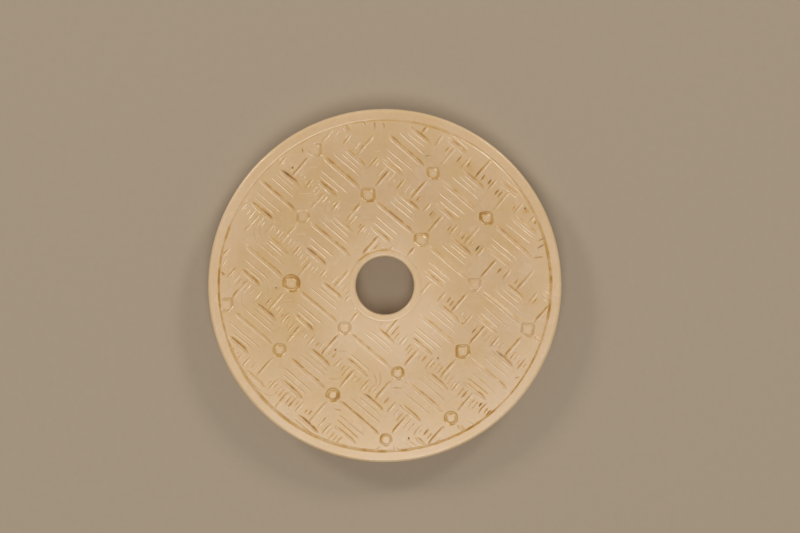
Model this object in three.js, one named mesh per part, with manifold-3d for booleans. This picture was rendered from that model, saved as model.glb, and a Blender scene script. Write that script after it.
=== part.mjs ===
// A jade bi: a flat ring of pale nephrite that lies on its back, in millimetres, +Z up.
// Its origin is the middle of the underside, and +Y is the top of the ring as it is shown.
// The face carries a brocade of interlocking T shapes, cut with a wheel as shallow V grooves
// between a border line near the rim and a collar line round the hole. The back repeats
// the lines of the brocade without its bosses.
import * as THREE from "three";
import { ConvexGeometry } from "three/addons/geometries/ConvexGeometry.js";
import { mergeVertices } from "three/addons/utils/BufferGeometryUtils.js";
import Module from "manifold-3d";

// The ring
const DIAMETER = 56;
const THICKNESS = 5;
const RIM_RADIUS = DIAMETER / 2;
const HOLE_RADIUS = 0.165 * RIM_RADIUS;
const RIM_ROUNDING = 0.5; // the polished outer edges
const HOLE_ROUNDING = 0.4; // the polished edges of the hole
const RIM_SEGMENTS = 96;
const HOLE_SEGMENTS = 48;
const RIM_STEPS = 3; // facets across a rounded edge
const HOLE_STEPS = 2;

// The two turned lines that bound the carving
const BORDER_RADIUS = 0.938 * RIM_RADIUS;
const COLLAR_RADIUS = 0.204 * RIM_RADIUS;

// The brocade: bosses in rows, each row half a pitch along from the next
const ROW_ANGLE = -40.2; // degrees from +X
const ROW_PITCH = 0.394 * RIM_RADIUS; // boss to boss along a row
const ROW_GAP = 0.331 * RIM_RADIUS; // row to row
const ROW_PHASE = -0.38; // how far the pattern sits off the centre, along the rows
const ROW_LEAN = 0.014; // how far a row slips along for each millimetre across
const ROWS_EACH_WAY = 3;
const BOSSES_EACH_WAY = 3;

// One motif: a boss, a line along the row, and a T above and below
const BOSS_HALF = 0.88; // from a boss's middle to the middle of its groove
const BOSS_CORNERS = 8;
const SQUARE_BULGE = 0.24; // how far the corners of the square bosses stand out, as a share
const ROUND_BULGE = 0.05; // the same for the worn, rounder bosses of the lower rows
const BOSS_GAP = 1.45; // from a boss's middle to the strokes that leave it
const UNCUT_BOSSES = [[-2, -1], [-2, 2], [1, 2]]; // [along, across], never finished
const TEE_RISE = 5.78; // from a row to the bar of the T above it
const TEE_DROP = 6.0; // from a row to the bar of the T below it
const BAR_LENGTH = 4.5;
const STEM_STOP = 0.35; // the stem stops this far short of its bar
const SHORTEST_STROKE = 0.8;

// Groove sections: width at the face, and depth
const LINE_CUT = { width: 0.78, depth: 0.22 };
const STEM_CUT = { width: 0.58, depth: 0.2 };
const BAR_CUT = { width: 0.76, depth: 0.24 };
const BOSS_CUT = { width: 0.6, depth: 0.22 };
const BORDER_CUT = { width: 0.56, depth: 0.2 };
const COLLAR_CUT = { width: 0.4, depth: 0.12 };
const CUTTER_LIFT = 0.3; // how far a stroke's cutter stands out of the face
const POINT_LENGTH = 1.2; // a stroke's pointed end, in groove widths
const POINT_LIMIT = 0.7; // the most of a short stroke's half that its point may take

// The hand of the carver
const SLIP = 0.1; // how far the ends of a stroke stray
const OVERRUN = 0.03; // the share by which each end of a stroke runs on or stops short

const wasm = await Module();
wasm.setup();

// A number from -1 to 1 that is always the same for the same three counts.
function stray(a, b, c) {
  const s = Math.sin(a * 127.1 + b * 311.7 + c * 74.7) * 43758.5453;
  return 2 * (s - Math.floor(s)) - 1;
}

// A closed three.js geometry as a solid that can be joined and cut.
function solid(geometry) {
  const bare = geometry.index ? geometry.toNonIndexed() : geometry.clone();
  bare.deleteAttribute("normal");
  bare.deleteAttribute("uv");
  const merged = mergeVertices(bare, 1e-5);
  return new wasm.Manifold(
    new wasm.Mesh({
      numProp: 3,
      vertProperties: merged.attributes.position.array,
      triVerts: new Uint32Array(merged.index.array),
    }),
  );
}

function geometryOf(manifold) {
  const mesh = manifold.getMesh();
  const made = new THREE.BufferGeometry();
  made.setAttribute("position", new THREE.BufferAttribute(mesh.vertProperties, 3));
  made.setIndex(new THREE.BufferAttribute(mesh.triVerts, 1));
  made.computeVertexNormals();
  return made;
}

// A quarter circle of a profile about (x, y), from one angle on by `turn` degrees.
function rounding(x, y, radius, from, turn, steps) {
  return Array.from({ length: steps + 1 }, (_, n) => {
    const angle = THREE.MathUtils.degToRad(from + (turn * n) / steps);
    return new THREE.Vector2(x + radius * Math.cos(angle), y + radius * Math.sin(angle));
  });
}

function turned(profile, segments) {
  return solid(new THREE.LatheGeometry(profile, segments).rotateX(Math.PI / 2));
}

// The disc before it is bored: a flat cake with rounded edges.
function cake() {
  const x = RIM_RADIUS - RIM_ROUNDING;
  return turned(
    [
      new THREE.Vector2(0, 0),
      ...rounding(x, RIM_ROUNDING, RIM_ROUNDING, -90, 90, RIM_STEPS),
      ...rounding(x, THICKNESS - RIM_ROUNDING, RIM_ROUNDING, 0, 90, RIM_STEPS),
      new THREE.Vector2(0, THICKNESS),
    ],
    RIM_SEGMENTS,
  );
}

// The bore's cutter: a spool whose flared ends round the edges of the hole.
function spool() {
  const mouth = HOLE_RADIUS + HOLE_ROUNDING;
  return turned(
    [
      new THREE.Vector2(0, -THICKNESS),
      new THREE.Vector2(mouth, -THICKNESS),
      ...rounding(mouth, HOLE_ROUNDING, HOLE_ROUNDING, 270, -90, HOLE_STEPS),
      ...rounding(mouth, THICKNESS - HOLE_ROUNDING, HOLE_ROUNDING, 180, -90, HOLE_STEPS),
      new THREE.Vector2(mouth, 2 * THICKNESS),
      new THREE.Vector2(0, 2 * THICKNESS),
    ],
    HOLE_SEGMENTS,
  );
}

// A point of the pattern, u along the rows and v across them, as a point of the face.
function place(u, v) {
  const point = new THREE.Vector2(u + ROW_LEAN * v + ROW_PHASE, v);
  return point.rotateAround(new THREE.Vector2(), THREE.MathUtils.degToRad(ROW_ANGLE));
}

// Where the line from a to b meets a circle about the centre, as two shares of its length.
function crossings(a, b, radius) {
  const d = b.clone().sub(a);
  const middle = -a.dot(d) / d.lengthSq();
  const square = middle * middle - (a.lengthSq() - radius * radius) / d.lengthSq();
  return square > 0 ? [middle - Math.sqrt(square), middle + Math.sqrt(square)] : null;
}

// The stretches of the line from a to b between the collar line and the border line.
function insideField(a, b) {
  const outer = crossings(a, b, BORDER_RADIUS);
  if (!outer) return [];
  const start = Math.max(0, outer[0]);
  const end = Math.min(1, outer[1]);
  const inner = crossings(a, b, COLLAR_RADIUS) ?? [end, end];
  const stretches = [
    [start, Math.min(end, inner[0])],
    [Math.max(start, inner[1]), end],
  ];
  const length = a.distanceTo(b);
  return stretches
    .filter(([from, to]) => (to - from) * length > SHORTEST_STROKE)
    .map(([from, to]) => [a.clone().lerp(b, from), a.clone().lerp(b, to)]);
}

// A stroke of the pattern with the carver's slips, clipped to the field.
function stroke([u1, v1], [u2, v2], cut, [a, b]) {
  const start = place(u1, v1 + SLIP * stray(a, b, 1));
  const end = place(u2, v2 + SLIP * stray(a, b, 2));
  const overrun = OVERRUN * stray(a, b, 3);
  return insideField(start.clone().lerp(end, -overrun), end.clone().lerp(start, -overrun)).map(
    ([from, to]) => ({ start: from, end: to, cut }),
  );
}

// The middle of each boss: its counts along and across, and its place in the pattern.
function bosses() {
  const found = [];
  for (let j = -ROWS_EACH_WAY; j <= ROWS_EACH_WAY; j += 1) {
    for (let i = -BOSSES_EACH_WAY; i <= BOSSES_EACH_WAY; i += 1) {
      found.push({ i, j, u: ROW_PITCH * (i + (j % 2 ? 0 : 0.5)), v: ROW_GAP * j });
    }
  }
  return found;
}

// The line along the row and the two T shapes of one boss.
function motif({ i, j, u, v }) {
  const key = (n) => [i + 10 * n, j];
  const rowEnd = u + ROW_PITCH - BOSS_GAP;
  const strokes = stroke([u + BOSS_GAP, v], [rowEnd, v], LINE_CUT, key(0));
  for (const [n, side, reach] of [[1, 1, TEE_RISE], [3, -1, TEE_DROP]]) {
    const bar = v + side * reach;
    const top = bar - side * STEM_STOP;
    strokes.push(
      ...stroke([u, v + side * BOSS_GAP], [u, top], STEM_CUT, key(n)),
      ...stroke([u - BAR_LENGTH / 2, bar], [u + BAR_LENGTH / 2, bar], BAR_CUT, key(n + 1)),
    );
  }
  return strokes;
}

// A boat-shaped cutter, as a wheel leaves it: a V with pointed ends.
function strokeCutter({ start, end, cut }) {
  const half = start.distanceTo(end) / 2;
  const shoulder = half - Math.min(POINT_LENGTH * cut.width, POINT_LIMIT * half);
  const points = [];
  for (const side of [1, -1]) {
    points.push(new THREE.Vector3(side * shoulder, 0, -cut.depth));
    for (const z of [0, CUTTER_LIFT]) {
      points.push(
        new THREE.Vector3(side * half, 0, z),
        new THREE.Vector3(side * shoulder, cut.width / 2, z),
        new THREE.Vector3(side * shoulder, -cut.width / 2, z),
      );
    }
  }
  const along = end.clone().sub(start);
  const middle = start.clone().lerp(end, 0.5);
  return new ConvexGeometry(points)
    .rotateZ(Math.atan2(along.y, along.x))
    .translate(middle.x, middle.y, 0);
}

// A ring-shaped cutter of diamond section. Its bulge pushes the corners out towards a square.
function ringCutter(radius, cut, sides, bulge = 0, centre = new THREE.Vector2()) {
  const ring = new THREE.TorusGeometry(radius, cut.width / 2, 4, sides);
  ring.scale(1, 1, (2 * cut.depth) / cut.width);
  const at = ring.attributes.position;
  for (let n = 0; n < at.count; n += 1) {
    const corner = Math.abs(Math.sin(2 * Math.atan2(at.getY(n), at.getX(n))));
    const share = 1 + bulge * corner;
    at.setXY(n, share * at.getX(n), share * at.getY(n));
  }
  return ring.translate(centre.x, centre.y, 0);
}

// The grooves round the bosses that stand whole inside the field.
function bossCutters() {
  const whole = ({ centre }) => {
    const away = centre.length();
    return away + BOSS_HALF < BORDER_RADIUS && away - BOSS_HALF > COLLAR_RADIUS;
  };
  return bosses()
    .filter(({ i, j }) => !UNCUT_BOSSES.some(([a, b]) => a === i && b === j))
    .map(({ j, u, v }) => ({ j, centre: place(u, v) }))
    .filter(whole)
    .map(({ j, centre }) => {
      const bulge = j < 0 ? ROUND_BULGE : SQUARE_BULGE;
      return ringCutter(BOSS_HALF, BOSS_CUT, BOSS_CORNERS, bulge, centre);
    });
}

// The two turned lines and all strokes, for a face at height 0 with the jade below it.
function lineCutters() {
  return [
    ringCutter(BORDER_RADIUS, BORDER_CUT, RIM_SEGMENTS),
    ringCutter(COLLAR_RADIUS, COLLAR_CUT, HOLE_SEGMENTS),
    ...bosses().flatMap(motif).map(strokeCutter),
  ];
}

const joined = (geometries) => geometries.map(solid).reduce((all, one) => all.add(one));

const lines = joined(lineCutters());
const face = lines.add(joined(bossCutters())).translate(0, 0, THICKNESS);
const back = lines.rotate(0, 180, 0);
const carved = cake().subtract(spool()).subtract(face).subtract(back);

const jade = new THREE.MeshStandardMaterial({ color: 0xcdb28c, roughness: 0.35, metalness: 0 });
const ring = new THREE.Mesh(geometryOf(carved), jade);
ring.name = "jade_disc";

const bi = new THREE.Group();
bi.add(ring);

export default bi;
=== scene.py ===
# %% [markdown]
# # A small jade bi, wheel-cut with a brocade of interlocking T shapes
#
# The object is a flat ring of pale honey-white nephrite. It is one piece: a disc sawn from a
# pebble, bored through the middle, polished, and then cut with a small turning wheel. This
# lesson dresses the plain solid of the disc: it makes a finer skin with every cut of the
# wheel, and a stone that is cloudy, waxy and stained in its cuts.

# %% Load the frame
import math
from typing import NamedTuple

import bpy
import numpy as np
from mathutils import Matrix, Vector
from mathutils.geometry import delaunay_2d_cdt


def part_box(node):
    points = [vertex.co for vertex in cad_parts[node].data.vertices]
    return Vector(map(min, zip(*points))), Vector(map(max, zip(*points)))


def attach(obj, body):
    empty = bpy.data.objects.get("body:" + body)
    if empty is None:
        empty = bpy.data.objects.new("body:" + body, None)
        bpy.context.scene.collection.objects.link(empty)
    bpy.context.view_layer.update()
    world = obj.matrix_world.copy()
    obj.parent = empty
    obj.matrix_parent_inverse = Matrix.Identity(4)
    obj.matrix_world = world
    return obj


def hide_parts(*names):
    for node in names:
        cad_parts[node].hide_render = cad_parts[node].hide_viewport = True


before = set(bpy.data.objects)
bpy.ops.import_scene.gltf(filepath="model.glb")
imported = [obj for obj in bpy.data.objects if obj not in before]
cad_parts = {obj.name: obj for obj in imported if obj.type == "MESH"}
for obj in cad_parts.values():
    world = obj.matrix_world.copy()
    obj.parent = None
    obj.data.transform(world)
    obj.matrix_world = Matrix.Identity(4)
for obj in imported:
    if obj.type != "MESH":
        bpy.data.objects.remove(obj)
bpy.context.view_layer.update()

MM = 0.001
low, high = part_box("jade_disc")
RIM = (high[0] - low[0]) / 2 / MM
THICKNESS = (high[2] - low[2]) / MM
print(f"disc: {2 * RIM:.1f} mm across and {THICKNESS:.1f} mm thick")

# %% [markdown]
# ## The camera
#
# A flat carving is best seen square-on. The disc lies on its back, so the camera hangs
# straight above it. A long lens from a third of a metre keeps the rim round. The disc
# fills less than half of the frame, a little left of the middle and a little low.

# %% Camera
SENSOR = 36.0
LENS = 100.0
DISC_SHARE = 0.4422  # of the frame's width
DISC_LEFT = 0.019  # of the frame's width, from the middle
DISC_DOWN = 0.0239

frame_width = 2 * RIM * MM / DISC_SHARE
camera_height = THICKNESS * MM + frame_width * LENS / SENSOR

camera_data = bpy.data.cameras.new("camera")
camera_data.lens = LENS
camera_data.sensor_width = SENSOR
camera_data.clip_start = 0.01
camera_data.clip_end = 20.0
camera = bpy.data.objects.new("camera", camera_data)
camera.location = (DISC_LEFT * frame_width, DISC_DOWN * frame_width, camera_height)
bpy.context.scene.collection.objects.link(camera)
bpy.context.scene.camera = camera
print(f"camera {camera_height * 1000:.0f} mm up, the frame is {frame_width * 1000:.0f} mm wide")

# %% [markdown]
# ## The floor
#
# The disc lies on a plain pale sheet, so that nothing competes with the stone. One large
# square is enough, because the camera sees only the middle of it.

# %% Floor
FLOOR_REACH = 3.0  # metres to each side


def floor_sheet(reach):
    """A flat square, in metres to each side of the middle."""
    corners = [(-reach, -reach, 0), (reach, -reach, 0), (reach, reach, 0), (-reach, reach, 0)]
    mesh = bpy.data.meshes.new("floor")
    mesh.from_pydata(corners, [], [(0, 1, 2, 3)])
    sheet = bpy.data.objects.new("floor", mesh)
    bpy.context.scene.collection.objects.link(sheet)
    return sheet


floor = floor_sheet(FLOOR_REACH)
print(f"a floor of {2 * FLOOR_REACH:.0f} m square")

# %% [markdown]
# ## The light
#
# Shallow cuts only show when light rakes over them. Two small soft boxes stand low beyond
# the upper corners of the frame, one square to each direction of the cuts: the wall that
# faces a box throws back a thin glint. A large box in front and a bright room fill in the
# rest, because waxy old jade never looks hard in its shadows. One large lamp would be
# simpler, but then half of the cuts would vanish.

# %% Light
WARM = (1.0, 0.95, 0.88)
ROOM_TINT = (1.0, 0.96, 0.9, 1.0)
ROOM_STRENGTH = 0.27
LAMP_AWAY = 0.62  # metres from the stone
LAMPS = {
    "right_box": (50, 32, 0.13, 0.9),
    "left_box": (140, 32, 0.13, 0.9),
    "front_box": (270, 70, 0.3, 1.4),
}  # degrees round the disc, degrees up, size in metres, watts


def soft_box(name, place, aim, size, watts, tint):
    """A square lamp at one place that faces another, both in metres."""
    data = bpy.data.lights.new(name, "AREA")
    data.size = size
    data.energy = watts
    data.color = tint
    lamp = bpy.data.objects.new(name, data)
    lamp.location = place
    lamp.rotation_euler = (Vector(aim) - Vector(place)).to_track_quat("-Z", "Y").to_euler()
    lamp.visible_camera = False
    bpy.context.scene.collection.objects.link(lamp)
    return lamp


for name, (turn, rise, size, watts) in LAMPS.items():
    flat = LAMP_AWAY * math.cos(math.radians(rise))
    angle = math.radians(turn)
    up = LAMP_AWAY * math.sin(math.radians(rise))
    stand = (flat * math.cos(angle), flat * math.sin(angle), up)
    soft_box(name, stand, (0, 0, 0), size, watts, WARM)

world = bpy.data.worlds.new("room")
bpy.context.scene.world = world
world.use_nodes = True
walls = world.node_tree.nodes["Background"]
walls.inputs["Color"].default_value = ROOM_TINT
walls.inputs["Strength"].default_value = ROOM_STRENGTH
bpy.context.scene.view_settings.view_transform = "Standard"
print(f"{len(LAMPS)} soft boxes and a bright room")

# %% [markdown]
# ## One cut of the wheel
#
# Jade is too hard for a chisel. It is ground with a small iron wheel and grit, so each cut
# is a narrow trough that runs out to a point at both ends. Hundreds of them make the
# pattern. Each could be an object and a boolean, but that many booleans are slow and
# brittle. Here a cut is only a few numbers, and plain functions read them. The slips of the
# hand come from one function of three counts, so every run carves the same disc.

# %% A cut as numbers
class Cut(NamedTuple):
    """One pass of the wheel, in mm. The stain runs from 0, clean, to 1, brown."""

    start: tuple
    end: tuple
    width: float
    depth: float
    stain: float
    bow: float = 0.0
    filled: bool = False  # stained from lip to lip, not on the upper wall alone


def stray(a, b, c):
    """A number from -1 to 1 that is always the same for the same three counts."""
    s = math.sin(a * 127.1 + b * 311.7 + c * 74.7) * 43758.5453
    return 2 * (s - math.floor(s)) - 1


def upper_left(cut):
    """The same cut run from left to right, so that its left side is its upper side."""
    if cut.end[0] >= cut.start[0]:
        return cut
    return cut._replace(start=cut.end, end=cut.start, bow=-cut.bow)


slips = [stray(n, 0, 1) for n in range(100)]
print(f"the hand slips from {min(slips):.2f} to {max(slips):.2f}")

# %% [markdown]
# ## Its section and its ends
#
# The lower wall of each trough is short and steep, and has a flat facet that throws back a
# thin glint. The upper wall is long and gentle, and is painted brown: partly the stain of
# handling and burial, and partly painted shade, because this wall faces away from the two
# low soft boxes. So a cut reads as a brown line beside a bright one. Both are curves across
# the cut, from one lip at -1 to the other at 1, and the cut narrows and lifts towards its
# ends. A bevel or a bump would give the same wall to both sides.

# %% Section and ends
LOWER_WALL = 0.1  # mm, the width of the steep lower wall of a cut
WIDEST_WALL = 0.8  # half widths that the lower wall of a fine cut may take
UPPER_FLOOR = -0.1  # where the gentle upper wall starts, in half widths from the middle
# The brown on the upper wall of a cut is partly real stain and partly painted shade, on the wall that
# faces away from the low soft boxes.
STAIN_AND_SHADE_FROM = -0.15  # half widths from the middle
STAIN_TO = 1.35
STAIN_AND_SHADE_EDGE = 1.3  # how firm the edges of the stain and painted shade are
FILLED_EDGE = 1.8
POINT_LENGTH = 1.7  # how long an end runs out, in widths
POINT_BLUNTNESS = 0.7
POINT_LIMIT = 0.45  # the most of a cut that one end may take


def fullness(along, length, width):
    """How full the cut is, from 0 at its ends to 1 in its middle."""
    point = min(POINT_LENGTH * width, POINT_LIMIT * length)
    near = np.minimum(along, length - along) / point
    return np.clip(1 - (1 - np.clip(near, 0, 1)) ** 2, 0, 1) ** POINT_BLUNTNESS


def eased(share):
    """0 below 0, 1 above 1, and smooth in between."""
    share = np.clip(share, 0, 1)
    return share * share * (3 - 2 * share)


def section(across, wall):
    """How much of its depth a cut has, from one lip at -1 to the other at 1."""
    lower = eased((1 + across) / wall)
    upper = eased((1 - across) / (1 - UPPER_FLOOR))
    return lower * upper


def stain_and_shade_across(across, filled):
    """How much of its stain a cut has, from lip to lip, or on its upper wall alone, where it is partly
    painted shade.
    """
    if filled:
        return eased(FILLED_EDGE * (1 - np.abs(across) / STAIN_TO))
    middle = (STAIN_AND_SHADE_FROM + STAIN_TO) / 2
    return eased(STAIN_AND_SHADE_EDGE * (1 - np.abs(across - middle) / (STAIN_TO - middle)))


def wall_share(width):
    """The lower wall of a cut, in half widths."""
    return min(WIDEST_WALL, 2 * LOWER_WALL / width)


broad, narrow = (wall_share(width) / 2 for width in (0.76, 0.3))
print(f"the lower wall takes {broad:.0%} of a broad cut and {narrow:.0%} of a fine one")

# %% [markdown]
# ## Lanes of points
#
# A mesh shows a cut only where it has points, and an even grid fine enough for these would
# need millions. So the points run in lanes along each cut: one just outside the lower lip,
# two that hold the facet, some down and up the trough, one on the upper lip and one
# where the stain ends. Along a lane they stand close at the pointed ends and wide between.

# %% Lanes along a cut
BROAD_WIDTH = 0.45  # mm; from this width on, a cut takes more lanes
OUTSIDE = 1.02  # just past a lip, in half widths
FACET_FROM = 0.2  # shares of the lower wall
FACET_TO = 0.8
STATION_GAP = 1.1  # mm between the points along a lane
BOWED_GAP = 0.3
BOWED = 0.1  # mm; a cut that bows more takes the closer gap
POINT_STATIONS = (0.0, 0.08, 0.3, 0.65, 1.0)


def lane_offsets(width, plain):
    """Where the lanes of points lie across a cut, in half widths."""
    wall = wall_share(width)
    lower = (-OUTSIDE, -1 + FACET_FROM * wall, -1 + FACET_TO * wall)
    if plain or width < BROAD_WIDTH:
        return (*lower, 0.0, 0.55, 1.0, STAIN_TO)
    return (*lower, -1 + wall, 0.0, 0.3, 0.65, 1.0, STAIN_TO)


def axes_of(cut):
    """Where a cut starts, the directions along and across it, and its length."""
    start = np.array(cut.start)
    run = np.array(cut.end) - start
    length = float(np.hypot(*run))
    ahead = run / length
    return start, ahead, np.array((-ahead[1], ahead[0])), length


def bend(cut, along, length):
    """How far a bowed cut stands off its straight line."""
    share = along / length
    return 4 * cut.bow * share * (1 - share)


def cut_lanes(cut, plain=False):
    """The lanes of points that shape a cut in the mesh, fewer where it may be plainer."""
    start, ahead, aside, length = axes_of(cut)
    point = min(POINT_LENGTH * cut.width, POINT_LIMIT * length)
    tip = [point * share for share in POINT_STATIONS]
    middle = length - 2 * point
    steps = max(1, round(middle / (BOWED_GAP if abs(cut.bow) > BOWED else STATION_GAP)))
    body = [point + middle * n / steps for n in range(1, steps)]
    along = np.array(tip + body + [length - s for s in reversed(tip)])
    half = cut.width / 2 * fullness(along, length, cut.width)
    spine = start + np.outer(along, ahead) + np.outer(bend(cut, along, length), aside)
    return [spine + np.outer(offset * half, aside) for offset in lane_offsets(cut.width, plain)]


broad, narrow = (len(lane_offsets(width, False)) for width in (0.7, 0.3))
print(f"a broad cut has {broad} lanes and a fine one {narrow}")

# %% [markdown]
# ## Depth and stain
#
# The other half of a cut is a rule for any point of the face: how deep the wheel went
# there, and how brown it left the stone. Lanes and rule read the same numbers, so the points
# always stand where the section turns.

# %% How deep a cut goes
def sink_cut(points, cut):
    """How deep one cut goes at each point, and how stained it leaves the stone."""
    start, ahead, aside, length = axes_of(cut)
    rel = points - start
    along = rel @ ahead
    inside = (along > 0) & (along < length)
    off = rel @ aside - bend(cut, along, length)
    full = np.where(inside, fullness(along, length, cut.width), 0)
    across = off / np.maximum(cut.width / 2 * full, 1e-6)
    depth = cut.depth * full * section(across, wall_share(cut.width))
    return depth, cut.stain * stain_and_shade_across(across, cut.filled) * full


groove = Cut((0.0, 0.0), (4.0, 0.0), 0.76, 0.09, 1.0)
deep, brown = sink_cut(np.array([(2.0, 0.0), (2.0, 0.2)]), groove)
print(f"a broad cut is {deep[0]:.2f} mm deep, with a stain of {brown[1]:.2f} on its upper wall")

# %% [markdown]
# ## The brocade
#
# The ground pattern is an old weaver's one. Small bosses stand in slanting rows, and each
# row is half a pitch along from the next. A line joins the bosses of a row, and above and
# below each boss a stem carries a bar, so that the T shapes of neighbouring rows lock into each
# other. An array modifier would repeat one motif exactly, which no hand does. So each place
# is worked out from its counts, with the same rule and the same slips as in the solid.

# %% Places in the pattern
BORDER = 0.938 * RIM
COLLAR = 0.204 * RIM
ROW_ANGLE = math.radians(-40.2)
ROW_PITCH = 0.394 * RIM  # from boss to boss
ROW_GAP = 0.331 * RIM  # from row to row
ROW_PHASE = -0.38
ROW_LEAN = 0.014
COUNTS = range(-3, 4)
BOSS_HALF = 0.88
BOSS_GAP = 1.45  # from the middle of a boss to the first line
TEE_RISE = 5.78  # from a row to its bars above and below
TEE_DROP = 6.0
BAR_LENGTH = 4.5
STEM_STOP = 0.35  # from the end of a stem to the middle of its bar
SHORTEST = 0.8


def place(u, v):
    """A point of the pattern, u along the rows and v across them, as a point of the face."""
    u += ROW_LEAN * v + ROW_PHASE
    c, s = math.cos(ROW_ANGLE), math.sin(ROW_ANGLE)
    return np.array((u * c - v * s, u * s + v * c))


def crossings(a, b, radius):
    """Where the line from a to b meets a circle, as two shares of its length."""
    d = b - a
    middle = -a.dot(d) / d.dot(d)
    square = middle**2 - (a.dot(a) - radius**2) / d.dot(d)
    if square <= 0:
        return None
    return middle - math.sqrt(square), middle + math.sqrt(square)


def inside_field(a, b, shortest):
    """The stretches of a line between the collar line and the border line."""
    outer = crossings(a, b, BORDER)
    if outer is None:
        return []
    start, end = max(0, outer[0]), min(1, outer[1])
    inner = crossings(a, b, COLLAR) or (end, end)
    stretches = [(start, min(end, inner[0])), (max(start, inner[1]), end)]
    length = math.dist(a, b)
    return [
        (a + (b - a) * s, a + (b - a) * e) for s, e in stretches if (e - s) * length > shortest
    ]


print(f"the pattern fills the ring from {COLLAR:.1f} to {BORDER:.1f} mm from the middle")

# %% [markdown]
# ## Strokes of an unsteady hand
#
# No stroke of the pattern is quite in its place or of its full length, and each is a little
# broader, deeper or browner than the next. One function gives a stroke its slips and clips
# it to the field, and every line of the pattern goes through it.

# %% Strokes
SLIP = 0.1  # mm
OVERRUN = 0.03  # of its length
UNEVEN = 0.14  # of its width and depth
STAIN_UNEVEN = 0.35
STRAY_BOW = 0.05  # mm
NARROW = 0.42  # a narrow cut is stained from lip to lip once it is stained this much
SEEPING = 0.5


def stroke(first, last, key, width, depth, stain, shortest=SHORTEST):
    """A stroke of the pattern with the carver's slips, clipped to the field."""
    a = place(first[0], first[1] + SLIP * stray(*key, 1))
    b = place(last[0], last[1] + SLIP * stray(*key, 2))
    overrun = OVERRUN * stray(*key, 3)
    a, b = a + (b - a) * -overrun, b + (a - b) * -overrun
    width *= 1 + UNEVEN * stray(*key, 4)
    depth *= 1 + UNEVEN * stray(*key, 5)
    stain = max(0.0, stain * (1 + STAIN_UNEVEN * stray(*key, 6)))
    bow = STRAY_BOW * stray(*key, 7)
    filled = width < NARROW and stain > SEEPING
    return [
        Cut(tuple(s), tuple(e), width, depth, stain, bow, filled)
        for s, e in inside_field(a, b, shortest)
    ]


sample = stroke((8.0, 3.0), (12.0, 3.0), (0, 0), 0.76, 0.085, 0.8)[0]
print(f"a stroke set out 4 mm long comes out {math.dist(sample.start, sample.end):.2f} mm long")

# %% [markdown]
# ## Rows and T shapes
#
# These are the broad lines that carry the pattern: the line from boss to boss, and the
# stem and bar above and below each boss. The solid has them too, so this skin and the
# solid show the same brocade.

# %% Main lines
ROW_CUT = (0.76, 0.085, 0.8)  # width and depth in mm, and stain
STEM_CUT = (0.54, 0.08, 0.9)
BAR_CUT = (0.78, 0.09, 1.0)
TEES = ((1, 1, TEE_RISE), (3, -1, TEE_DROP))  # key, side of the row and reach
BOSSES = [
    (i, j, ROW_PITCH * (i + (0 if j % 2 else 0.5)), ROW_GAP * j) for j in COUNTS for i in COUNTS
]


def main_lines():
    """The line along the row and the two T shapes of every boss."""
    cuts = []
    for i, j, u, v in BOSSES:
        row = (u + BOSS_GAP, v), (u + ROW_PITCH - BOSS_GAP, v)
        cuts += stroke(*row, (i, j), *ROW_CUT)
        for n, side, reach in TEES:
            bar = v + side * reach
            stem = (u, v + side * BOSS_GAP), (u, bar - side * STEM_STOP)
            ends = (u - BAR_LENGTH / 2, bar), (u + BAR_LENGTH / 2, bar)
            cuts += stroke(*stem, (i + 10 * n, j), *STEM_CUT)
            cuts += stroke(*ends, (i + 10 * (n + 1), j), *BAR_CUT)
    return cuts


lines = main_lines()
print(f"{len(lines)} main lines")

# %% [markdown]
# ## Bosses, border and collar
#
# A boss is what is left standing when the wheel has gone round it. In the upper rows it
# is a rounded square, set upright on the disc, and in the lower rows the carver rocked
# the wheel and left it nearly round. Some bosses lack a side, and three were never
# cut. The border and the collar are rings too. They weren't turned on a lathe, so they
# wander, and the brown has gathered in them unevenly. All of these can be one thing: a
# trough between two lips, each lip a superellipse, which is a circle or a rounded square
# by one number.

# %% A ring as numbers
class Ring(NamedTuple):
    """A trough that runs round a middle, in mm; the tones are pairs of degrees and shares."""

    centre: tuple
    inner: float  # from the middle to its inner lip
    outer: float
    inner_squareness: float  # 2 for a circle, more for a rounded square
    outer_squareness: float
    tilt: float
    slip: float  # how far its lips wander
    facet: float  # the direction that both worn corners face, or None
    depth: float
    stain: float
    key: tuple
    depth_tones: dict
    stain_tones: dict


def tone_at(turn, tones):
    """The tone in each direction, between the directions that are given."""
    degrees = np.degrees(turn) % 360
    return np.interp(degrees, list(tones), list(tones.values()))


print(f"a ring is {len(Ring._fields)} numbers and tables")

# %% [markdown]
# ## The lips of a ring
#
# A turned circle would look like machine work. Here each lip wavers slowly, and one
# corner of each boss is worn straight, with the outer lip across from it. These two small
# flats face the soft boxes, and give a boss its glint.

# %% Lips
KNOB_FACET = 0.98  # how far out a corner is worn, of the inner size
LIP_FACET = 0.9  # of the outer size
LEAST_FACING = 0.3  # past this turn from its middle a worn corner ends
WAVES = (2, 3, 5, 8)  # how often each wave of a lip goes up and down


def waver(turn, key, size):
    """A slow wander of about the given size, the same at 0 and 360 degrees."""
    sway = sum(np.sin(n * turn + 3 * stray(*key, n + 60)) / n for n in WAVES)
    return size * sway / 2


def lip(turn, size, squareness):
    """How far from the middle a rounded square runs in each direction."""
    square = np.abs(np.cos(turn)) ** squareness + np.abs(np.sin(turn)) ** squareness
    return size * square ** (-1 / squareness)


def worn(turn, size, facet, away):
    """A lip with one corner worn straight."""
    return np.minimum(size, away / np.maximum(np.cos(turn - facet), LEAST_FACING))


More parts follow.
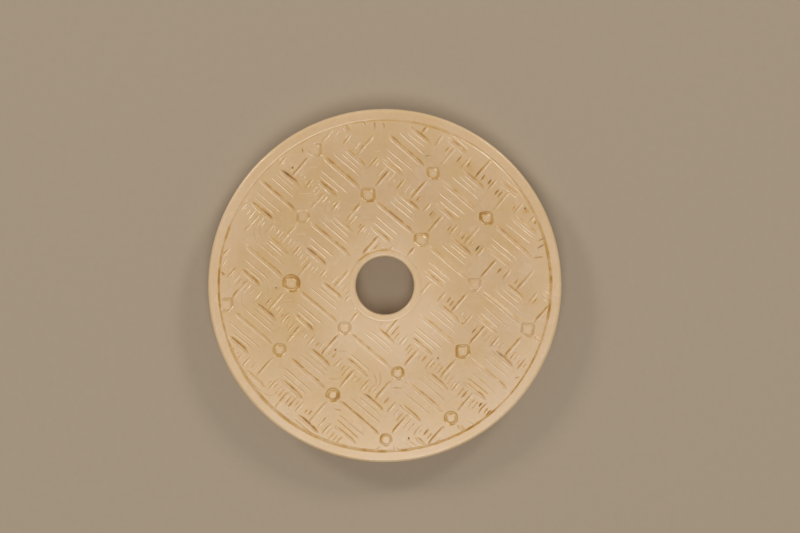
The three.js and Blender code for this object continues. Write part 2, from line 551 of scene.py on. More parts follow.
def ring_shape(ring, turn):
    """The middle of the trough and half its width, in each direction."""
    across, row = ring.key
    inner = lip(turn - ring.tilt, ring.inner, ring.inner_squareness)
    inner = inner + waver(turn, ring.key, ring.slip)
    outer = lip(turn - ring.tilt, ring.outer, ring.outer_squareness)
    outer = outer + waver(turn, (across, row + 7), ring.slip)
    if ring.facet is not None:
        inner = worn(turn, inner, ring.facet, KNOB_FACET * ring.inner)
        outer = worn(turn, outer, ring.facet + math.pi, LIP_FACET * ring.outer)
    return (inner + outer) / 2, (outer - inner) / 2


round_lip, square_lip = (lip(math.pi / 4, 1.0, squareness) for squareness in (2.0, 4.5))
print(f"a corner stands at {round_lip:.2f} on a circle and {square_lip:.2f} on a rounded square")

# %% [markdown]
# ## Lanes and depth of a ring
#
# As with the straight cuts, a ring gives lanes of points and a rule for depth and stain.
# Both of its walls are steep, with the same facet, because the wheel stood upright here.

# %% Lanes and depth of a ring
RING_WALL = 0.2  # mm
LEAST_SIDES = 24
LARGE_RING = 4.0  # mm
LARGE_SIDE = 0.9
SMALL_SIDE = 0.26
PATCHES = 0.3
DARKEST = 1.2


def ring_lanes(ring, plain=False):
    """The lanes of points that shape a ring in the mesh, fewer where it may be plainer."""
    side = LARGE_SIDE if ring.outer > LARGE_RING else SMALL_SIDE
    sides = int(max(LEAST_SIDES, 2 * math.pi * ring.outer / side))
    turn = 2 * math.pi * np.arange(sides) / sides
    out = np.column_stack((np.cos(turn), np.sin(turn)))
    path, half = ring_shape(ring, turn)
    wall = RING_WALL / half
    inner = (-STAIN_TO, -OUTSIDE, -1 + FACET_FROM * wall, -1 + FACET_TO * wall)
    offsets = inner + tuple(-offset for offset in reversed(inner))
    if plain:
        offsets = (-OUTSIDE, -0.5, 0.5, OUTSIDE)
    return [np.array(ring.centre) + (path + offset * half)[:, None] * out for offset in offsets]


def sink_ring(points, ring):
    """How deep one ring goes at each point, and how stained it leaves the stone."""
    rel = points - np.array(ring.centre)
    turn = np.arctan2(rel[:, 1], rel[:, 0])
    path, half = ring_shape(ring, turn)
    across = np.abs(np.hypot(*rel.T) - path) / half
    depth = ring.depth * tone_at(turn, ring.depth_tones) * eased((1 - across) * half / RING_WALL)
    patchy = 1 + waver(turn, (ring.key[0], ring.key[1] + 9), PATCHES)
    tone = tone_at(turn, ring.stain_tones) * patchy * eased(FILLED_EDGE * (1 - across / STAIN_TO))
    return depth, ring.stain * np.clip(tone, 0, DARKEST)


print(f"the walls of a ring are {RING_WALL:.1f} mm wide")

# %% [markdown]
# ## The bosses
#
# No two bosses are alike, and they wear differently over the disc. What is a rule is worked
# out here, such as which ones fall inside the field. What is chance on the real piece,
# such as how brown or how large one is, is written in a table by its place in the pattern.

# %% Bosses
SQUARE_KNOB = 0.62  # mm from the middle to the inner lip
ROUND_KNOB = 0.52
SQUARE_BOSS = 1.17  # mm to the outer lip
ROUND_BOSS = 1.16
SQUARE_LIPS = (4.5, 4.2)  # squareness of the inner and the outer lip
ROUND_LIPS = (3.0, 2.2)
KNOB_UNEVEN = 0.08
BOSS_UNEVEN = 0.05
BOSS_TILT = 6  # degrees
BOSS_SLIP = 0.08  # mm
BOSS_DEPTH = 0.12
PLAIN_STAIN = 0.6
FACETS = (50, 140)  # degrees
FACET_TURN = 5
FAINT = 0.15  # what is left of a missing side
WHOLE = {0: 1.0, 360: 1.0}
UNCUT = ((-2, -1), (-2, 2), (1, 2))  # bosses that the carver never finished
BOSS_STAIN = {
    (-2, -2): 0.34,
    (-1, -2): 0.56,
    (0, -2): 0.86,
    (1, -2): 0.65,
    (-1, -1): 0.82,
    (0, -1): 0.34,
    (1, -1): 0.60,
    (2, -1): 0.60,
    (-2, 0): 0.43,
    (1, 0): 0.65,
    (-2, 1): 0.43,
    (-1, 1): 0.65,
    (0, 1): 0.70,
    (1, 1): 0.30,
    (2, 1): 0.30,
    (-1, 2): 0.65,
    (0, 2): 0.78,
}
BOSS_GROWTH = {(-1, -1): 1.28, (-1, 1): 1.08, (-1, 2): 0.92, (1, -2): 0.92}
MISSING_SIDE = {(-2, 1): 135, (-2, 0): 90, (-2, -2): 180, (1, 1): 200}  # degrees


def without(side):
    """Tones that fade out round one direction, in degrees."""
    if side is None:
        return WHOLE
    around = {}
    for turn in range(0, 361, 10):
        off = abs((turn - side + 180) % 360 - 180)
        around[turn] = float(FAINT + (1 - FAINT) * eased((off - 30) / 40))
    return around


def whole_bosses():
    """The bosses that stand inside the field: key, centre, and whether square."""
    found = []
    for i, j, u, v in BOSSES:
        centre = place(u, v)
        if (i, j) in UNCUT:
            continue
        away = math.hypot(*centre)
        if away + BOSS_HALF < BORDER and away - BOSS_HALF > COLLAR:
            found.append(((i, j), centre, j >= 0 or (i, j) == (-2, -2)))
    return found


def boss_ring(key, centre, square):
    """The trough round one boss: its knob is square, and its outer lip may be round."""
    tones = without(MISSING_SIDE.get(key))
    grown = BOSS_GROWTH.get(key, 1.0)
    inner = (SQUARE_KNOB if square else ROUND_KNOB) * grown * (1 + KNOB_UNEVEN * stray(*key, 31))
    outer = (SQUARE_BOSS if square else ROUND_BOSS) * grown * (1 + BOSS_UNEVEN * stray(*key, 32))
    lips = SQUARE_LIPS if square else ROUND_LIPS
    tilt = math.radians(BOSS_TILT * stray(*key, 50))
    facing = FACETS[0] if stray(*key, 33) > 0 else FACETS[1]
    facet = math.radians(facing + FACET_TURN * stray(*key, 34))
    stain = BOSS_STAIN.get(key, PLAIN_STAIN)
    return Ring(
        tuple(centre), inner, outer, *lips, tilt, BOSS_SLIP, facet, BOSS_DEPTH, stain, key, tones, tones
    )


rings = [boss_ring(*boss) for boss in whole_bosses()]
print(f"{len(rings)} bosses")

# %% [markdown]
# ## Border and collar
#
# One line follows the rim and another the hole. Both fade and darken on their way round,
# as the wheel bit more or less and the brown gathered. The tables give depth and stain in
# some directions, and the stone in between is worked out.

# %% Border and collar
BORDER_DEPTH = {0: 0.9, 20: 1.1, 80: 1.1, 110: 0.5, 150: 0.5, 170: 0.9, 360: 0.9}
BORDER_STAIN = {
    0: 1.0,
    15: 0.55,
    45: 0.3,
    70: 0.45,
    95: 0.6,
    110: 0.25,
    150: 0.3,
    166: 0.95,
    180: 0.95,
    200: 0.6,
    240: 0.75,
    285: 0.7,
    325: 0.9,
    345: 0.75,
    360: 1.0,
}
COLLAR_STAIN = {0: 0.1, 70: 0.2, 85: 0.9, 130: 1.0, 150: 0.3, 200: 0.1, 360: 0.1}
COLLAR_DEPTH = {0: 0.6, 80: 1.0, 140: 1.0, 180: 0.5, 360: 0.6}


def round_line(radius, half, slip, depth, stain, key, depth_tones, stain_tones):
    """A line round the middle of the disc, half to each side of its radius."""
    lips = radius - half, radius + half, 2.0, 2.0
    return Ring((0, 0), *lips, 0, slip, None, depth, stain, key, depth_tones, stain_tones)


border = round_line(BORDER, 0.24, 0.18, 0.09, 0.85, (5, 5), BORDER_DEPTH, BORDER_STAIN)
collar = round_line(COLLAR, 0.2, 0.1, 0.06, 0.6, (6, 6), COLLAR_DEPTH, COLLAR_STAIN)
print(f"border at {BORDER:.1f} mm and collar at {COLLAR:.1f} mm from the middle")

# %% [markdown]
# ## Hatching
#
# The ground between the T shapes is filled with fine lines that echo them: two beyond each
# bar, a step beside each stem, and short ticks in the corner between stem and bar. Here and
# there a rounded corner joins a tick to the lines beyond the next bar. The filling is
# close at the left and the foot of the disc, and thins out at the upper right. A texture
# could draw such lines, but only real cuts catch the light when the disc is turned.

# %% Fine lines
HATCH_GAP = 0.88
HATCH_HALF = 2.15
HATCH_GROWTH = 0.6
STEP_OFF = 2.75
TICK_OFF = 0.85
TICK_GAP = 0.68
TICKS = 3
HATCH_CUT = (0.32, 0.065)  # width and depth in mm
STEP_CUT = (0.46, 0.075, 0.55)  # width and depth in mm, and stain
TICK_CUT = (0.3, 0.06)
LONE_TICK_CUT = (0.32, 0.07, 1.05)
CORNER_CUT = (0.24, 0.05)
CORNER_BOW = 0.13  # of its length
CORNER_ROOM = 0.5  # mm to the border and the collar
SHORT_TICK = 0.5


def filled_ground(at):
    """Whether the carver filled the ground with care here."""
    return at[0] < 0.15 * RIM or at[1] < -0.15 * RIM


def brownness(at):
    """Fine lines are clean at the top of the disc and brown at its foot."""
    return 0.42 - 0.34 * at[1] / RIM


def beyond_bar(u, bar, side, key):
    """The two lines that echo a bar."""
    cuts = []
    for k in range(2):
        key_k = (key[0] + k, key[1])
        level = bar + side * HATCH_GAP * (k + 1)
        half = HATCH_HALF + HATCH_GROWTH * k + 0.25 * stray(*key_k, 9)
        shift = 0.25 * stray(*key_k, 8)
        ends = (u - half + shift, level), (u + half + shift, level)
        if stray(*key_k, 10) < 0.8:
            cuts += stroke(*ends, key_k, *HATCH_CUT, 0.7 * brownness(place(u, level)))
    return cuts


def corner_cut(first, last, way, key, stain):
    """The rounded corner between a line beside a stem and one beyond the next bar."""
    a, b = place(*first), place(*last)
    if max(math.hypot(*a), math.hypot(*b)) > BORDER - CORNER_ROOM:
        return []
    if min(math.hypot(*a), math.hypot(*b)) < COLLAR + CORNER_ROOM:
        return []
    bow = -way * CORNER_BOW * math.dist(a, b)
    return [Cut(tuple(a), tuple(b), *CORNER_CUT, max(0.0, stain), bow)]


def beside_stem(u, bar, side, way, key):
    """The step at the end of a bar, and the ticks between it and the stem."""
    cuts = []
    corner = u + way * STEP_OFF
    ends = (corner, bar - side * 2.45), (corner, bar - side * 0.15)
    cuts += stroke(*ends, key, *STEP_CUT)
    for k in range(TICKS):
        key_k = (key[0] + 100 + 7 * k, key[1])
        across = u + way * (TICK_OFF + TICK_GAP * k + 0.1 * stray(*key_k, 17))
        far = bar - side * (2.5 - 0.35 * k + 0.4 * stray(*key_k, 13))
        near = bar - side * (0.7 + 0.3 * stray(*key_k, 14))
        at = place(across, near)
        brown = brownness(at) * (1.15 + 0.7 * stray(*key_k, 15))
        if filled_ground(at):
            if stray(*key_k, 12) < 0.55:
                ends = (across, near), (across, far)
                cuts += stroke(*ends, key_k, *TICK_CUT, brown, shortest=SHORT_TICK)
            if k < 2 and at[0] < 0 and stray(*key_k, 16) < -0.4:
                turn = (u + way * (2.5 + 0.5 * k), bar - side * (4.27 - HATCH_GAP * k))
                cuts += corner_cut((across, far), turn, way * side, key_k, brown * 0.5)
        elif stray(*key_k, 12) > 0.35:
            middle = bar - side * 1.5
            ends = (across, middle - 0.65), (across, middle + 0.65)
            cuts += stroke(*ends, key_k, *LONE_TICK_CUT, shortest=SHORT_TICK)
    return cuts


def hatching():
    cuts = []
    for i, j, u, v in BOSSES:
        for n, side, reach in TEES:
            bar = v + side * reach
            cuts += beyond_bar(u, bar, side, (i + 10 * n + 60, j))
            for way in (-1, 1):
                cuts += beside_stem(u, bar, side, way, (i + 10 * n + 200 + way, j))
    return cuts


hatched = hatching()
print(f"{len(hatched)} lines of hatching")

# %% [markdown]
# ## Loose marks
#
# Some marks belong to no rule: short strokes beyond the border where the wheel slipped, and
# small pits where the stone gave. There are few of them, so they are written down one by
# one, and they are cuts like all others.

# %% Loose marks
LOOSE_CUT = (0.3, 0.07, 1.4)  # width and depth in mm, and stain
PIT_CUT = (0.34, 0.07, 2.0)
PIT_HALF = 0.2
STRAY_MARKS = (
    ((23.4, 4.3), (25.2, 4.5)),
    ((24.2, 7.0), (25.5, 7.5)),
    ((24.1, 5.8), (25.4, 6.5)),
    ((8.0, 22.1), (8.7, 22.9)),
    ((6.1, 20.4), (7.5, 20.5)),
    ((-13.1, 21.8), (-13.0, 20.9)),
    ((-3.7, 26.1), (-3.0, 25.2)),
    ((-1.7, 26.1), (-1.6, 24.5)),
    ((-0.3, 25.9), (-0.1, 24.8)),
    ((-8.1, -19.5), (-6.8, -19.8)),
    ((1.2, -16.2), (2.7, -16.3)),
    ((20.5, -14.7), (21.4, -14.5)),
)  # mm from the middle of the disc
PITS = (
    (-14.6, 18.6),
    (-7.8, -10.2),
    (-17.2, -0.4),
    (3.8, -24.2),
    (12.3, -6.0),
    (22.2, 12.2),
    (8.4, -11.5),
)


def loose_marks():
    """Strokes and pits that belong to no rule: where the wheel slipped or the stone gave."""
    cuts = [Cut(start, end, *LOOSE_CUT) for start, end in STRAY_MARKS]
    for n, (x, y) in enumerate(PITS):
        half = PIT_HALF + 0.05 * stray(n, 1, 1)
        cuts.append(Cut((x - half, y), (x + half, y + 0.1), *PIT_CUT, filled=True))
    return cuts


fine = hatched + loose_marks()
print(f"{len(fine)} fine lines and marks")

# %% [markdown]
# ## Face and back
#
# The face has every cut. The back of such a disc is plainer, so it gets only the main lines
# with the border and the collar. Every cut is turned to run from left to right, so that
# its left side is its upper side, and the brown, partly stain and partly painted shade, lies
# on the upper wall everywhere.

# %% Gather the cuts
all_rings = rings + [border, collar]
face_cuts = [upper_left(cut) for cut in lines + fine]
back_cuts = [upper_left(cut) for cut in lines]
print(f"{len(face_cuts)} cuts on the face, {len(back_cuts)} on the back")

# %% [markdown]
# ## The skin
#
# A boolean could take each cut out of a blank, but it leaves knife edges and long thin
# triangles, and the softness of old polish is lost. So each side is made as a paper
# pattern: the lanes of all cuts are laid down flat and joined by one Delaunay
# triangulation, which splits lanes where cuts cross. Then the flat pattern is pressed down
# by the depth of the cuts, and its outer rings are folded over the rim and into the bore.

# %% Lay out the pattern
RIM_ROUNDING = 0.5
HOLE_RADIUS = 0.165 * RIM
HOLE_ROUNDING = 0.4
RIM_SIDES = 240
HOLE_SIDES = 96
ROUNDING_STEPS = 6
WALL_STEPS = 2
GROUND_GAP = 1.6
HOLE_ROOM = 0.6  # mm from the points of the ground to the rounded edges
RIM_ROOM = 0.5
KNOB_RADIUS = 0.25
KNOB_SIDES = 8
WELD = 1e-4


def fold_rings(rounding, wall):
    """How far past the flat each ring lies in the paper pattern."""
    arc = [rounding * math.pi / 2 * n / ROUNDING_STEPS for n in range(ROUNDING_STEPS + 1)]
    return arc + [arc[-1] + wall * n / WALL_STEPS for n in range(1, WALL_STEPS + 1)]


def circle(radius, sides):
    """Even points round the middle."""
    turn = 2 * math.pi * np.arange(sides) / sides
    return np.column_stack((radius * np.cos(turn), radius * np.sin(turn)))


class Pattern:
    """The points and edges of a flat pattern."""

    def __init__(self):
        self.points = []
        self.edges = []

    def add(self, path, closed=False):
        first = len(self.points)
        self.points += [tuple(p) for p in path]
        count = len(path)
        self.edges += [(first + n, first + n + 1) for n in range(count - 1)]
        if closed:
            self.edges.append((first + count - 1, first))


flat_outer = RIM - RIM_ROUNDING
flat_inner = HOLE_RADIUS + HOLE_ROUNDING
rim_rings = fold_rings(RIM_ROUNDING, THICKNESS / 2 - RIM_ROUNDING)
hole_rings = fold_rings(HOLE_ROUNDING, THICKNESS / 2 - HOLE_ROUNDING)


def pattern_of(cuts, rings, knobs, plain):
    """The edge rings, the lanes of all cuts and rings, the knobs, and an even ground."""
    pattern = Pattern()
    for reach in rim_rings:
        pattern.add(circle(flat_outer + reach, RIM_SIDES), closed=True)
    for reach in hole_rings:
        pattern.add(circle(flat_inner - reach, HOLE_SIDES), closed=True)
    for cut in cuts:
        for lane in cut_lanes(cut, plain):
            pattern.add(lane)
    for ring in rings:
        for lane in ring_lanes(ring, plain):
            pattern.add(lane, closed=True)
    for centre in knobs:
        pattern.add(centre + circle(KNOB_RADIUS, KNOB_SIDES), closed=True)
    reach = int(flat_outer / GROUND_GAP)
    for row in range(-reach, reach + 1):
        for column in range(-reach, reach + 1):
            x, y = GROUND_GAP * (column + 0.5 * (row % 2)), GROUND_GAP * row
            if flat_inner + HOLE_ROOM < math.hypot(x, y) < flat_outer - RIM_ROOM:
                pattern.points.append((x, y))
    return pattern


def triangulate(pattern):
    """The points and triangles of a pattern, without those over the hole."""
    made = delaunay_2d_cdt(
        [Vector(p) for p in pattern.points], pattern.edges, [], 0, WELD, False
    )
    points = np.array([tuple(p) for p in made[0]])
    faces = np.array([tuple(f) for f in made[2]])
    middles = points[faces].mean(axis=1)
    ringed = np.hypot(*middles.T) > flat_inner - hole_rings[-1]
    return points, faces[ringed]


print(f"{len(rim_rings)} rings fold over the rim and {len(hole_rings)} into the bore")

# %% [markdown]
# ## Press and fold it
#
# Each point of the pattern is pressed down by the deepest cut that it lies in, and takes
# that stain along as a value that the stone's shader can read. On the upper walls of the
# cuts that value is partly painted shade, and on the tops of the knobs it falls below 0 for
# a painted sheen. The shading comes from the slope of the cuts themselves, felt out a
# little to each side, because slopes averaged from long thin triangles would give every
# groove a flicker.

# %% Press and fold it
PROBE = 0.02  # mm to each side, when the slope of the stone is felt out
LEAST_DEPTH = 0.006
STEEPEST = 0.56  # the polish leaves no wall steeper than this rise over run
RING_REACH = (0.8, 1.5)  # where a ring is felt, of its inner and outer size
KNOB_SHEEN = 0.25  # how much a painted sheen pales the top of a boss
KNOB_FADE = 0.25  # mm


class Skin(NamedTuple):
    """One side of the stone, in mm from the middle of the disc."""

    points: np.ndarray
    faces: np.ndarray
    stain: np.ndarray
    normals: np.ndarray


def fold(past, rounding):
    """Where a ring goes that lies past the flat: how far out, and how far down."""
    quarter = rounding * math.pi / 2
    angle = np.clip(past, 0, quarter) / rounding
    out = rounding * np.sin(angle)
    down = rounding * (1 - np.cos(angle)) + np.maximum(past - quarter, 0)
    return out, down


def carved(points, cuts, rings):
    """The depth and the stain at each point of the pattern."""
    depth = np.zeros(len(points))
    stain = np.zeros(len(points))
    for cut in cuts:
        middle = (np.array(cut.start) + np.array(cut.end)) / 2
        reach = math.dist(cut.start, cut.end) / 2 + cut.width
        near = np.nonzero(np.hypot(*(points - middle).T) < reach)[0]
        sunk, stained = sink_cut(points[near], cut)
        depth[near] = np.maximum(depth[near], sunk)
        stain[near] = np.maximum(stain[near], stained)
    for ring in rings:
        away = np.hypot(*(points - np.array(ring.centre)).T)
        near = np.nonzero((away > RING_REACH[0] * ring.inner) & (away < RING_REACH[1] * ring.outer))[0]
        sunk, stained = sink_ring(points[near], ring)
        depth[near] = np.maximum(depth[near], sunk)
        stain[near] = np.maximum(stain[near], stained)
    return depth, stain


def slopes(points, depth, cuts, rings):
    """How fast the cuts deepen along X and along Y, up to a limit, and 0 where nothing is cut."""
    found = []
    for step in (np.array((PROBE, 0)), np.array((0, PROBE))):
        ahead, _ = carved(points + step, cuts, rings)
        behind, _ = carved(points - step, cuts, rings)
        found.append((ahead - behind) / (2 * PROBE))
    slope = np.column_stack(found)
    steep = np.linalg.norm(slope, axis=1) / STEEPEST
    return slope * (np.clip(depth / LEAST_DEPTH, 0, 1) / np.maximum(steep, 1))[:, None]


def skin(cuts, rings, knobs, plain=False):
    """One side of the disc, from the face at z = THICKNESS / 2 down to mid-height."""
    points, faces = triangulate(pattern_of(cuts, rings, knobs, plain))
    depth, stain = carved(points, cuts, rings)
    # Painted sheen: the tops of the knobs are paled, as if their polished domes threw back the light,
    # by a stain value below 0.
    for centre in knobs:
        sheen = eased((ROUND_KNOB - np.hypot(*(points - centre).T)) / KNOB_FADE)
        stain = stain - KNOB_SHEEN * sheen * (1 - np.clip(3 * stain, 0, 1))
    radius = np.hypot(*points.T)
    past_rim = np.maximum(radius - flat_outer, 0)
    past_hole = np.maximum(flat_inner - radius, 0)
    rim_out, rim_down = fold(past_rim, RIM_ROUNDING)
    hole_in, hole_down = fold(past_hole, HOLE_ROUNDING)
    kept = np.clip(radius, flat_inner, flat_outer) + rim_out - hole_in
    out = points / radius[:, None]
    height = THICKNESS / 2 - depth - rim_down - hole_down
    places = np.column_stack((out * kept[:, None], height))

    lean = np.minimum(past_rim / RIM_ROUNDING, math.pi / 2)
    lean -= np.minimum(past_hole / HOLE_ROUNDING, math.pi / 2)
    sideways = out * np.sin(lean)[:, None] + slopes(points, depth, cuts, rings)
    normals = np.column_stack((sideways, np.cos(lean)))
    normals /= np.linalg.norm(normals, axis=1)[:, None]
    return Skin(places, faces, stain, normals)


knob_middles = [centre for _, centre, _ in whole_bosses()]
face_skin = skin(face_cuts, all_rings, knob_middles)
back_skin = skin(back_cuts, [border, collar], [], plain=True)
print(f"face: {len(face_skin.faces)} triangles, back: {len(back_skin.faces)}")

# %% [markdown]
# ## Close the stone
#
# The back is the same kind of skin, turned over about the Y axis. Both end in the
# same ring of points at mid-height, at the rim and in the bore, so merging close points
# closes the stone.

# %% Close the stone
def disc_mesh():
    """Both sides as one closed mesh, with its stain and its own normals."""
    turn = np.array((-1, 1, -1))
    lift = np.array((0, 0, THICKNESS / 2))
    points = np.vstack((face_skin.points, back_skin.points * turn)) + lift
    normals = np.vstack((face_skin.normals, back_skin.normals * turn))
    faces = np.vstack((face_skin.faces, back_skin.faces + len(face_skin.points)))
    stain = np.concatenate((face_skin.stain, back_skin.stain))

    keys = np.round(points / WELD).astype(np.int64)
    _, first, same = np.unique(keys, axis=0, return_index=True, return_inverse=True)
    faces = same.reshape(-1)[faces]
    ends = np.roll(faces, 1, axis=1)
    faces = faces[(faces != ends).all(axis=1)]
    mesh = bpy.data.meshes.new("carved_disc")
    mesh.from_pydata((points[first] * MM).tolist(), [], faces.tolist())
    layer = mesh.attributes.new("stain", "FLOAT", "POINT")
    layer.data.foreach_set("value", stain[first].astype(np.float32))
    mesh.shade_smooth()
    mesh.normals_split_custom_set_from_vertices(normals[first].tolist())
    return mesh


disc = bpy.data.objects.new("carved_disc", disc_mesh())
bpy.context.scene.collection.objects.link(disc)
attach(disc, "root")
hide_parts("jade_disc")
edges_of_faces = np.array([edge for face in disc.data.polygons for edge in face.edge_keys])
_, uses = np.unique(edges_of_faces, axis=0, return_counts=True)
open_edges = np.count_nonzero(uses != 2)
print(f"{len(disc.data.vertices)} points, {len(disc.data.polygons)} triangles, {open_edges} open")

# %% [markdown]
# ## Shader maths
#
# A finish is a net of nodes, and a net is hard to read as a list of links. A small class
# wraps one socket, so that a mask can be written as a sum such as `1 - mask`, and each
# operator adds its Math node. Colours go through Mix nodes instead, because a Math node
# would turn them grey.

# %% A wrapped socket
class Wire:
    """A socket of a node tree that can be added, multiplied and mixed."""

    def __init__(self, tree, socket):
        self.tree = tree
        self.socket = socket

    def node(self, kind, settings, inputs, output=0):
        """Any node: its type, its settings, its values and links by socket, its output."""
        made = self.tree.nodes.new(kind)
        for name, value in settings.items():
            setattr(made, name, value)
        for name, value in inputs.items():
            if isinstance(value, Wire):
                self.tree.links.new(value.socket, made.inputs[name])
            else:
                made.inputs[name].default_value = value
        return Wire(self.tree, made.outputs[output])

    def math(self, operation, first, second=0.0):
        return self.node("ShaderNodeMath", {"operation": operation}, {0: first, 1: second})

    def __add__(self, other):
        return self.math("ADD", self, other)

    __radd__ = __add__

    def __mul__(self, other):
        return self.math("MULTIPLY", self, other)

    __rmul__ = __mul__

    def __sub__(self, other):
        return self.math("SUBTRACT", self, other)

    def __rsub__(self, other):
        return self.math("SUBTRACT", other, self)

    def between(self, low_end, high_end):
        """0 below one value, 1 above another, and smooth in between."""
        return self.node(
            "ShaderNodeMapRange",
            {"interpolation_type": "SMOOTHSTEP"},
            {"Value": self, "From Min": low_end, "From Max": high_end},
        )

    def noise(self, scale, detail=2.0, rough=0.5):
        """A cloud of values about 0.5, at a scale per metre."""
        return self.node(
            "ShaderNodeTexNoise",
            {},
            {"Vector": self, "Scale": scale, "Detail": detail, "Roughness": rough},
        )

    def tint(self, first, second):
        """One colour where this mask is 0, another where it is 1."""
        return self.node(
            "ShaderNodeMix",
            {"data_type": "RGBA", "blend_type": "MIX"},
            {"Factor": self, 6: first, 7: second},
            2,
        )


def new_finish(name):
    """A material, its shader, and the place on the object that its textures read."""
    finish = bpy.data.materials.new(name)
    finish.use_nodes = True
    tree = finish.node_tree
    shader = tree.nodes["Principled BSDF"]
    coords = tree.nodes.new("ShaderNodeTexCoord")
    return finish, shader, Wire(tree, coords.outputs["Object"])


def feed(shader, **links):
    """Link wires to the shader's sockets, by name."""
    for name, wire in links.items():
        wire.tree.links.new(wire.socket, shader.inputs[name.replace("_", " ")])


print("sums, masks, clouds and tints are ready")

# %% [markdown]
# ## The colours of old jade
#
# This jade was white to pale green once. Burial and handling have turned it honey-coloured,
# paler where it is worn, with yellow-brown stain in the cuts and a few spots nearly
# black. Some paleness is painted light: a glow round the hole and towards the rim, and a
# sheen on the tops of the knobs. Colours are given as they look on a screen, and a shader
# takes linear values, so a helper turns the one into the other.

# %% Colours
def linear(red, green, blue):
    """A colour given as 0 to 255 on a screen, as the linear values that a shader takes."""
    shares = (channel / 255 for channel in (red, green, blue))
    curve = (s / 12.92 if s <= 0.04045 else ((s + 0.055) / 1.055) ** 2.4 for s in shares)
    return (*curve, 1.0)


HONEY = linear(217, 188, 145)
CREAM = linear(219, 192, 160)
TAN = linear(217, 185, 132)
BONE = linear(228, 203, 170)
UMBER = linear(196, 160, 112)
STAIN = linear(210, 169, 94)
DEEP_STAIN = linear(186, 138, 62)
DARK_STAIN = linear(112, 76, 38)
print(f"honey in linear values: {HONEY[0]:.2f}, {HONEY[1]:.2f}, {HONEY[2]:.2f}")

# %% [markdown]
# ## The stone
#
# Jade is a felt of fine fibres, cloudy inside, and light soaks a little way into it. So the
# colour is built in layers: two sizes of cloud, a fine felt, a paleness round the hole and
# along the rim that is partly wear and partly painted glow, a painted sheen on the knobs,
# and last the stain in the cuts, broken up by one more cloud, which on the upper walls of
# the cuts is partly painted shade. Subsurface scattering gives the waxy depth. A picture
# could be wrapped round it instead, but this way the stain follows the cuts exactly. The
# gloss is that of a soft old polish.

# %% Jade
CLOUDS = {"cloud": 70, "drift": 230, "patch": 420, "wave": 1400, "felt": 1700}  # per metre
FELT_SHARE = 0.22
# Paler round the hole and towards the rim: partly wear, partly a painted glow, as if light shone
# through the stone near its edges.
RIM_WEAR_AND_GLOW, HOLE_WEAR_AND_GLOW, EDGE_WEAR_AND_GLOW = 0.2, 0.75, 0.4
GLOSS, DRIFT_GLOSS, CUT_GLOSS = 0.21, 0.08, 0.05
WAVE_STRENGTH, WAVE_HEIGHT = 0.12, 0.0001
RIM_BAND_FROM = 0.95 * RIM * MM
RIM_BAND_FADE = 0.0006
HOLE_GLOW = (0.2 * RIM * MM, 0.52 * RIM * MM)  # the stone pales from the second to the first
EDGE_GLOW = (0.72 * RIM * MM, 0.94 * RIM * MM)
GLOW_DROP = 0.07 * RIM * MM


WAXY = {
    "Subsurface Weight": 0.85,
    "Subsurface Radius": (1.0, 0.82, 0.6),
    "Subsurface Scale": 0.0016,
    "IOR": 1.6,
}


def distance(at, shift):
    """How far each place is from the axis of the disc, with the axis moved down."""
    flat = at.node("ShaderNodeVectorMath", {"operation": "MULTIPLY"}, {0: at, 1: (1, 1, 0)})
    moved = flat.node("ShaderNodeVectorMath", {"operation": "ADD"}, {0: flat, 1: (0, shift, 0)})
    return moved.node("ShaderNodeVectorMath", {"operation": "LENGTH"}, {0: moved}, 1)


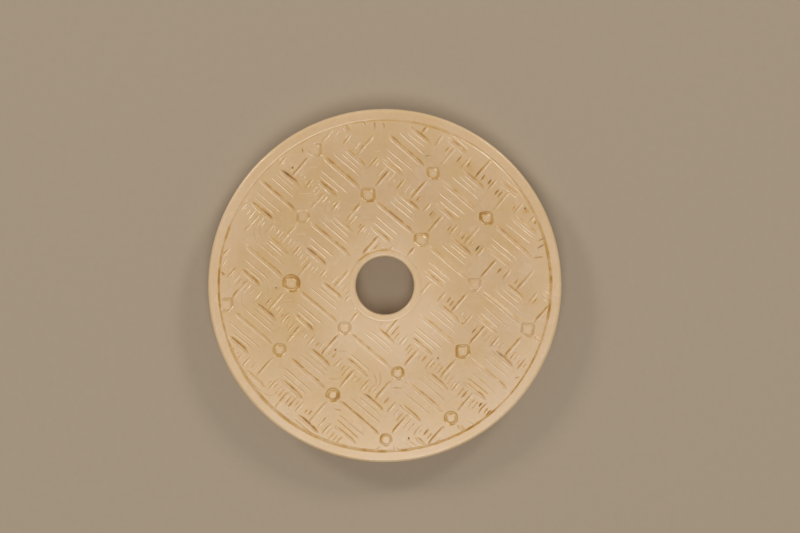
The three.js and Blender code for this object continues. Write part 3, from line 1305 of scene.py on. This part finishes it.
def jade_finish():
    """Clouds, then paleness from worn stone and painted glow, then a painted sheen, then stain that is
    partly painted shade.
    """
    finish, shader, at = new_finish("jade")
    cloud = at.noise(CLOUDS["cloud"], 3.0, 0.55).between(0.25, 0.75)
    drift = at.noise(CLOUDS["drift"], 2.0).between(0.2, 0.8)
    felt = at.noise(CLOUDS["felt"], 4.0, 0.7).between(0.3, 0.7)
    stone = drift.tint(cloud.tint(TAN, HONEY), cloud.tint(HONEY, CREAM))
    stone = (FELT_SHARE * felt).tint(stone, UMBER)

    # Partly wear and partly painted glow: the stone is painted paler round the hole, a little below it,
    # and towards the rim.
    away = distance(at, 0)
    rim = away.between(RIM_BAND_FROM - RIM_BAND_FADE, RIM_BAND_FROM)
    halo = 1 - distance(at, GLOW_DROP).between(*HOLE_GLOW)
    edge = away.between(*EDGE_GLOW)
    wear_and_glow = (RIM_WEAR_AND_GLOW * rim + HOLE_WEAR_AND_GLOW * halo + EDGE_WEAR_AND_GLOW * edge) * (0.7 + 0.5 * cloud)
    stone = wear_and_glow.tint(stone, BONE)

    cut = at.node("ShaderNodeAttribute", {"attribute_name": "stain"}, {}, "Fac")
    # Painted sheen: where the stain value is below 0, on the tops of the knobs, the stone is painted
    # bone-pale.
    stone = (-1 * cut).between(0.0, 0.6).tint(stone, BONE)
    patch = at.noise(CLOUDS["patch"], 3.0, 0.6).between(0.3, 0.7)
    # The stain value is real stain, and on the upper walls of the cuts it is also painted shade.
    seep_and_shade = cut * (0.3 + 0.95 * patch)
    stained = seep_and_shade.between(0.4, 1.0).tint(STAIN, DEEP_STAIN)
    stained = seep_and_shade.between(1.0, 1.6).tint(stained, DARK_STAIN)
    colour = seep_and_shade.between(0.0, 0.7).tint(stone, stained)

    gloss = GLOSS + DRIFT_GLOSS * drift + CUT_GLOSS * cut
    wave = at.noise(CLOUDS["wave"], 3.0, 0.6)
    swell = {"Strength": WAVE_STRENGTH, "Distance": WAVE_HEIGHT, "Height": wave}
    bump = at.node("ShaderNodeBump", {}, swell)
    feed(shader, Base_Color=colour, Roughness=gloss, Normal=bump)
    for name, value in WAXY.items():
        shader.inputs[name].default_value = value
    return finish


disc.data.materials.append(jade_finish())

jade = disc.data.materials[0]
print(f"{jade.name}: {len(jade.node_tree.nodes)} nodes")

# %% [markdown]
# ## Paper for the floor
#
# The floor is matt paper of one warm grey. One flat colour would do, but a grain of two
# close tones keeps it from looking like a blank screen.

# %% Floor finish
PAPER_GRAIN = 900  # per metre
PAPER_DARK = linear(172, 158, 140)
PAPER_LIGHT = linear(176, 162, 144)
PAPER_ROUGHNESS = 0.9


def floor_finish():
    """Matt paper with a faint grain."""
    finish, shader, at = new_finish("paper")
    feed(shader, Base_Color=at.noise(PAPER_GRAIN, 2.0).tint(PAPER_DARK, PAPER_LIGHT))
    shader.inputs["Roughness"].default_value = PAPER_ROUGHNESS
    return finish


floor.data.materials.append(floor_finish())
print(f"floor finish: {floor.data.materials[0].name}")
